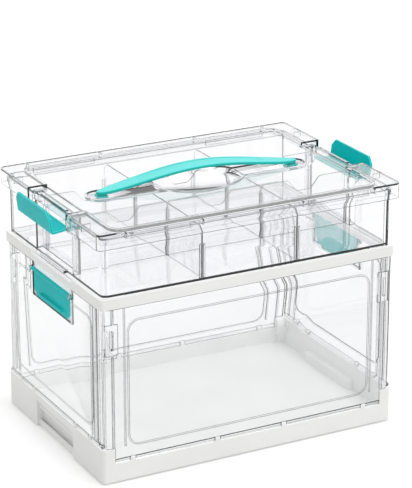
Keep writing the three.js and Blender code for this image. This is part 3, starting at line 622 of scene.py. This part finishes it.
class CRAFTBOX_OT_panels(bpy.types.Operator):
    """Dresses the four clear folding panels"""

    bl_idname = "craftbox.panels"
    bl_label = "Folding panels"

    def execute(self, context):
        for node in ("front_panel", "back_panel", "left_end_panel", "right_end_panel"):
            dress(node, "panel")
        return {"FINISHED"}


class CRAFTBOX_OT_latches(bpy.types.Operator):
    """Dresses the teal latches of the box and of the tray"""

    bl_idname = "craftbox.latches"
    bl_label = "Latches"

    def execute(self, context):
        for end in ENDS:
            dress(f"{end}_box_latch", "latch", SOFT_LATCH)
            dress(f"{end}_tray_latch", "latch", SOFT_LATCH)
        return {"FINISHED"}


class CRAFTBOX_OT_rim(bpy.types.Operator):
    """Dresses the white rim that carries the tray"""

    bl_idname = "craftbox.rim"
    bl_label = "Rim"

    def execute(self, context):
        dress("rim", "white", SOFT_RIM)
        return {"FINISHED"}


class CRAFTBOX_OT_tray(bpy.types.Operator):
    """Dresses the clear tray and its dividers"""

    bl_idname = "craftbox.tray"
    bl_label = "Tray and dividers"

    def execute(self, context):
        dress("tray", "clear")
        for end in ENDS:
            dress(f"{end}_long_divider", "clear")
        for column in COLUMNS:
            for face in FACES:
                dress(f"{column}_{face}_divider", "clear")
        return {"FINISHED"}


class CRAFTBOX_OT_lid(bpy.types.Operator):
    """Dresses the clear lid and the studs of its handle"""

    bl_idname = "craftbox.lid"
    bl_label = "Lid"

    def execute(self, context):
        dress("lid", "clear")
        for end in ENDS:
            dress(f"{end}_handle_stud", "latch", SOFT_LATCH)
        return {"FINISHED"}


class CRAFTBOX_OT_strap(bpy.types.Operator):
    """Builds the bowed strap with its dished grip"""

    bl_idname = "craftbox.strap"
    bl_label = "Handle strap"

    stations = 144  # rings along the strap
    around = 44  # points round a ring
    tip_power = 7  # the higher, the later the width draws in towards a tip
    tip_least = 0.02  # square of the share of the width that a tip keeps
    side_power = 0.28  # the lower, the squarer the section's sides
    top_power = 0.55  # the lower, the flatter its top and bottom

    def execute(self, context):
        sizes = context.scene.craft_box_strap
        low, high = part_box("handle_strap")
        half = (high.x - low.x) / 2
        shape = bmesh.new()
        rings = []
        for i in range(self.stations + 1):
            share = math.sin(math.pi * (i / self.stations - 0.5))
            rings.append([shape.verts.new(p) for p in self.ring(sizes, share, half, low.z)])
        for a, b in zip(rings, rings[1:]):
            for j in range(self.around):
                k = (j + 1) % self.around
                shape.faces.new((a[j], a[k], b[k], b[j]))
        shape.faces.new(list(reversed(rings[0])))
        shape.faces.new(rings[-1])
        bmesh.ops.recalc_face_normals(shape, faces=shape.faces)
        for face in shape.faces:
            face.smooth = len(face.verts) == 4
        strap = new_piece("strap", shape, "strap", "lid")
        strap.visible_glossy = False  # no mirror image of it in the lid
        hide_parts("handle_strap")
        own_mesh(strap)
        return {"FINISHED"}

    def ring(self, sizes, share, half, seat):
        """Points round the strap at a share of its half span, its ends drawn in to round tips."""
        bow = math.cos(math.pi * share / 2) ** 2
        low = seat + sizes.rise * (bow + 1 - share ** 2) / 2
        close_in = math.sqrt(max(1 - abs(share) ** self.tip_power, self.tip_least))
        w = (sizes.end_width * close_in + (sizes.width - sizes.end_width) * bow) / 2
        t = sizes.thickness / 2
        rim = w - sizes.grip_rim
        along = eased((sizes.grip_share - abs(share)) / sizes.grip_end)
        points = []
        for j in range(self.around):
            angle = 2 * math.pi * (j + 0.5) / self.around
            c, s = math.cos(angle), math.sin(angle)
            y = math.copysign(abs(c) ** self.side_power, c) * w
            z = math.copysign(abs(s) ** self.top_power, s) * t + t
            if s > 0:
                z -= sizes.grip_depth * along * eased((rim - abs(y)) / sizes.grip_wall)
            points.append((share * half, y, low + z))
        return points


class CRAFTBOX_PT_panel(bpy.types.Panel):
    """Lists the craft box's pieces in the sidebar"""

    bl_label = "Craft Box"
    bl_idname = "CRAFTBOX_PT_panel"
    bl_space_type = "VIEW_3D"
    bl_region_type = "UI"
    bl_category = "Craft Box"

    def draw(self, context):
        for operator in OPERATORS:
            self.layout.operator(operator.bl_idname)
        for name in GROUPS:
            group = getattr(context.scene, name)
            box = self.layout.box()
            for setting in group.__annotations__:
                box.prop(group, setting)


OPERATORS = (
    CRAFTBOX_OT_stage,
    CRAFTBOX_OT_base,
    CRAFTBOX_OT_panels,
    CRAFTBOX_OT_latches,
    CRAFTBOX_OT_rim,
    CRAFTBOX_OT_tray,
    CRAFTBOX_OT_lid,
    CRAFTBOX_OT_strap,
)
GROUPS = {
    "craft_box_studio": CraftBoxStudio,
    "craft_box_finish": CraftBoxFinish,
    "craft_box_strap": CraftBoxStrap,
}
CLASSES = (*GROUPS.values(), *OPERATORS, CRAFTBOX_PT_panel)


def register():
    """Registers the settings, the operators and the panel."""
    for kind in CLASSES:
        bpy.utils.register_class(kind)
    for name, kind in GROUPS.items():
        setattr(bpy.types.Scene, name, bpy.props.PointerProperty(type=kind))


def unregister():
    """Takes back what register did."""
    for name in GROUPS:
        delattr(bpy.types.Scene, name)
    for kind in reversed(CLASSES):
        bpy.utils.unregister_class(kind)


def main():
    """Builds the whole scene."""
    register()
    for operator in OPERATORS:
        space, name = operator.bl_idname.split(".")
        getattr(getattr(bpy.ops, space), name)()


if __name__ == "__main__":
    main()
